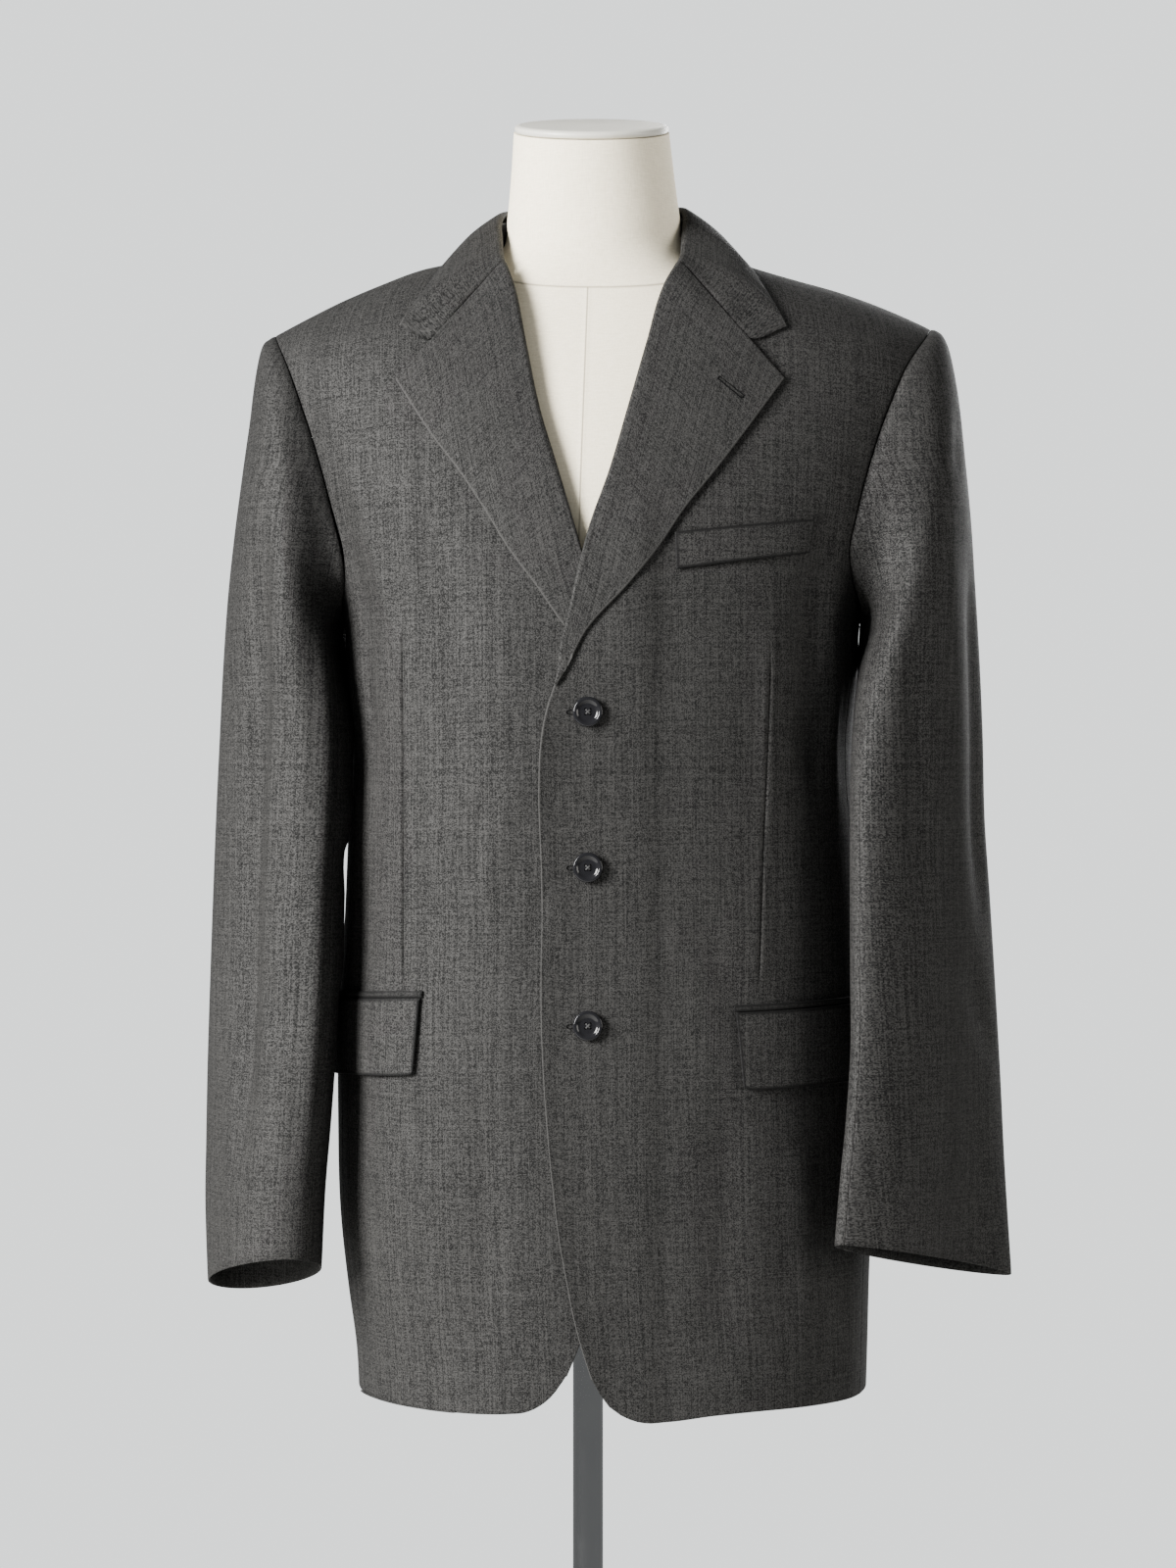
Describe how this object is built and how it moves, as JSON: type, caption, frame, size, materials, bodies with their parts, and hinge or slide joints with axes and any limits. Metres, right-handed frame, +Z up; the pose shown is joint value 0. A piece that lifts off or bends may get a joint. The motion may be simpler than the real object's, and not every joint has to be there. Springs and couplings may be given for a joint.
{
  "type": "single breasted blazer on dress form",
  "caption": "Tailored single breasted jacket with notch lapels, flap pockets and a breast welt, buttoned on a limbless dress form with a neck cap, a metal pole and a round base.",
  "frame": {"origin": "centre of the base's underside, on the floor under the pole", "axes": "+Z up along the pole, -Y out of the front of the coat, +X to the wearer's left"},
  "size_m": [0.5594, 0.36, 1.6085],
  "materials": {
    "worsted": "dark grey fine worsted with a slub crosshatch weave",
    "button": "black, raised glossy rim",
    "form_cloth": "pale cream linen stretched over a hard torso",
    "cap": "pale satin paint",
    "pole": "polished",
    "base": "polished"
  },
  "bodies": {
    "root": {"front_over": "worsted", "front_under": "worsted", "lapel_over": "worsted", "lapel_under": "worsted", "collar_fall": "worsted", "collar_stand": "worsted", "side_left": "worsted", "side_right": "worsted", "back_left": "worsted", "back_right": "worsted", "sleeve_upper_left": "worsted", "sleeve_upper_right": "worsted", "sleeve_under_left": "worsted", "sleeve_under_right": "worsted", "breast_welt": "worsted", "pocket_flap_left": "worsted", "pocket_flap_right": "worsted", "pocket_jet_left": "worsted", "pocket_jet_right": "worsted", "button_1": "button", "button_2": "button", "button_3": "button", "dress_form": "form_cloth", "neck_cap": "cap", "pole": "pole", "base": "base"}
  },
  "joints": []
}
